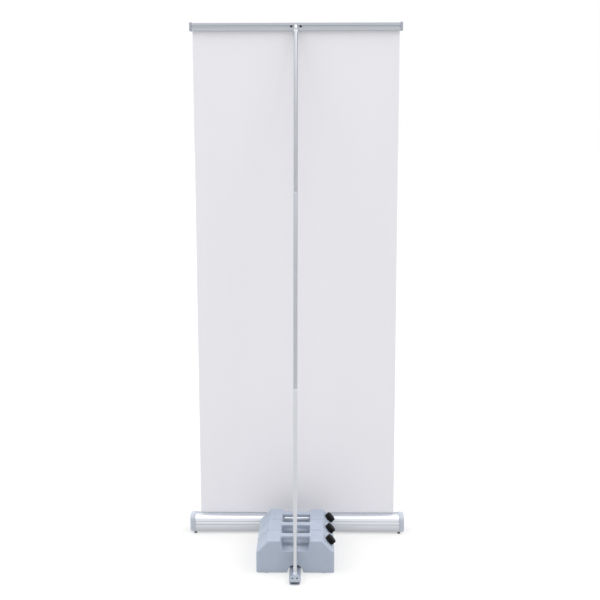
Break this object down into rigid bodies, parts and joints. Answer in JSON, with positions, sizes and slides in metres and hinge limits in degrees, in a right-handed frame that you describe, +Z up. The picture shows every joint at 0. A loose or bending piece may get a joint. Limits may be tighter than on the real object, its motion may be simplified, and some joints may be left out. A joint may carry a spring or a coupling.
{
  "type": "roll-up banner stand",
  "caption": "Retractable roll-up banner stand with leaning rear pole, support foot and water ballast tanks.",
  "frame": {"origin": "centre of the stand's bounding box in plan, on the floor", "axes": "+Z up; -Y is the service side with the pole, foot and tanks; +Y is the banner's display side; +X is the side of the tanks' screw caps"},
  "size_m": [0.94, 0.6312, 2.192],
  "materials": {
    "extruded_aluminium": "satin anodised extrusion with fine lengthwise drawing lines",
    "pole_aluminium": "bright satin anodised tube",
    "steel_hardware": "zinc plated",
    "grey_plastic": "moulded, lightly textured",
    "tank_plastic": "blow moulded polyethylene, satin",
    "white_plastic": "moulded, semi gloss",
    "black_plastic": "moulded, satin",
    "black_rubber": "moulded, matt",
    "banner_film": "blank white polyester film, smooth",
    "ballast_water": "clear",
    "elastic_cord": "braided cover"
  },
  "bodies": {
    "cassette": {"cassette_body": "extruded_aluminium", "end_cap_left": "grey_plastic", "end_cap_right": "grey_plastic", "end_cap_screw_rear_left": "steel_hardware", "end_cap_screw_front_left": "steel_hardware", "end_cap_screw_rear_right": "steel_hardware", "end_cap_screw_front_right": "steel_hardware", "slot_guide_rear": "grey_plastic", "slot_guide_front": "grey_plastic", "rubber_foot_rear_left": "black_rubber", "rubber_foot_rear_right": "black_rubber", "rubber_foot_front_left": "black_rubber", "rubber_foot_front_right": "black_rubber", "roller_axle_left": "steel_hardware", "spring_shaft": "steel_hardware", "recoil_spring": "steel_hardware", "foot_receiver": "steel_hardware", "receiver_screw_rear": "steel_hardware", "receiver_screw_front": "steel_hardware", "banner_sheet": "banner_film"},
    "roller": {"roller_tube": "extruded_aluminium", "roller_plug_left": "black_plastic", "roller_plug_right": "black_plastic", "spring_end_plug": "black_plastic", "banner_roll": "banner_film"},
    "rail": {"top_rail": "extruded_aluminium", "rail_cap_left": "grey_plastic", "rail_cap_right": "grey_plastic", "channel_stop_left": "black_plastic", "channel_stop_right": "black_plastic", "banner_bead": "white_plastic"},
    "foot": {"foot_beam": "extruded_aluminium", "pole_socket": "grey_plastic", "foot_end_cap": "grey_plastic", "foot_end_screw_left": "black_plastic", "foot_end_screw_right": "black_plastic", "foot_pad": "grey_plastic", "pole_lower": "pole_aluminium", "pole_middle": "pole_aluminium", "pole_upper": "pole_aluminium", "pole_spigot_lower": "steel_hardware", "pole_spigot_upper": "steel_hardware", "pole_shock_cord": "elastic_cord", "pole_base_plug": "black_plastic", "pole_head": "white_plastic", "pole_head_rivet": "steel_hardware"},
    "tank_1": {"tank_1_shell": "tank_plastic", "tank_1_water": "ballast_water"},
    "tank_1_seal": {"tank_1_gasket": "black_rubber"},
    "tank_1_screw_cap": {"tank_1_cap": "black_plastic"},
    "tank_2": {"tank_2_shell": "tank_plastic", "tank_2_water": "ballast_water"},
    "tank_2_seal": {"tank_2_gasket": "black_rubber"},
    "tank_2_screw_cap": {"tank_2_cap": "black_plastic"},
    "tank_3": {"tank_3_shell": "tank_plastic", "tank_3_water": "ballast_water"},
    "tank_3_seal": {"tank_3_gasket": "black_rubber"},
    "tank_3_screw_cap": {"tank_3_cap": "black_plastic"}
  },
  "joints": [
    {"name": "rail_travel", "type": "slide", "parent": "cassette", "child": "rail", "axis": [0, 0, 1], "range_m": [-2.071, 0], "deforming": ["banner_sheet"]},
    {"name": "roller_spin", "type": "hinge", "parent": "cassette", "child": "roller", "pos_m": [0, 0.2784, 0.056], "axis": [1, 0, 0], "range_deg": [-5, 7245]},
    {"name": "foot_pull", "type": "slide", "parent": "cassette", "child": "foot", "axis": [0, -1, 0], "range_m": [0, 0.04]},
    {"name": "tank_1_lift", "type": "slide", "parent": "foot", "child": "tank_1", "axis": [0, 0, 1], "range_m": [0, 0.045]},
    {"name": "tank_1_cap_rise", "type": "slide", "parent": "tank_1", "child": "tank_1_seal", "axis": [0.7295, 0, 0.6839], "range_m": [0, 0.01]},
    {"name": "tank_1_cap_turn", "type": "hinge", "parent": "tank_1_seal", "child": "tank_1_screw_cap", "pos_m": [0.1345, -0.14335, 0.113], "axis": [0.7295, 0, 0.6839], "range_deg": [0, 901]},
    {"name": "tank_2_lift", "type": "slide", "parent": "foot", "child": "tank_2", "axis": [0, 0, 1], "range_m": [0, 0.045]},
    {"name": "tank_2_cap_rise", "type": "slide", "parent": "tank_2", "child": "tank_2_seal", "axis": [0.7295, 0, 0.6839], "range_m": [0, 0.01]},
    {"name": "tank_2_cap_turn", "type": "hinge", "parent": "tank_2_seal", "child": "tank_2_screw_cap", "pos_m": [0.1345, -0.02135, 0.113], "axis": [0.7295, 0, 0.6839], "range_deg": [0, 901]},
    {"name": "tank_3_lift", "type": "slide", "parent": "foot", "child": "tank_3", "axis": [0, 0, 1], "range_m": [0, 0.045]},
    {"name": "tank_3_cap_rise", "type": "slide", "parent": "tank_3", "child": "tank_3_seal", "axis": [0.7295, 0, 0.6839], "range_m": [0, 0.01]},
    {"name": "tank_3_cap_turn", "type": "hinge", "parent": "tank_3_seal", "child": "tank_3_screw_cap", "pos_m": [0.1345, 0.10065, 0.113], "axis": [0.7295, 0, 0.6839], "range_deg": [0, 901]}
  ],
  "couplings": [
    {"joint": "roller_spin", "follows": "rail_travel", "rad_per_m": -60.976},
    {"joint": "tank_1_cap_turn", "follows": "tank_1_cap_rise", "rad_per_m": 1570.8},
    {"joint": "tank_2_cap_turn", "follows": "tank_2_cap_rise", "rad_per_m": 1570.8},
    {"joint": "tank_3_cap_turn", "follows": "tank_3_cap_rise", "rad_per_m": 1570.8}
  ]
}
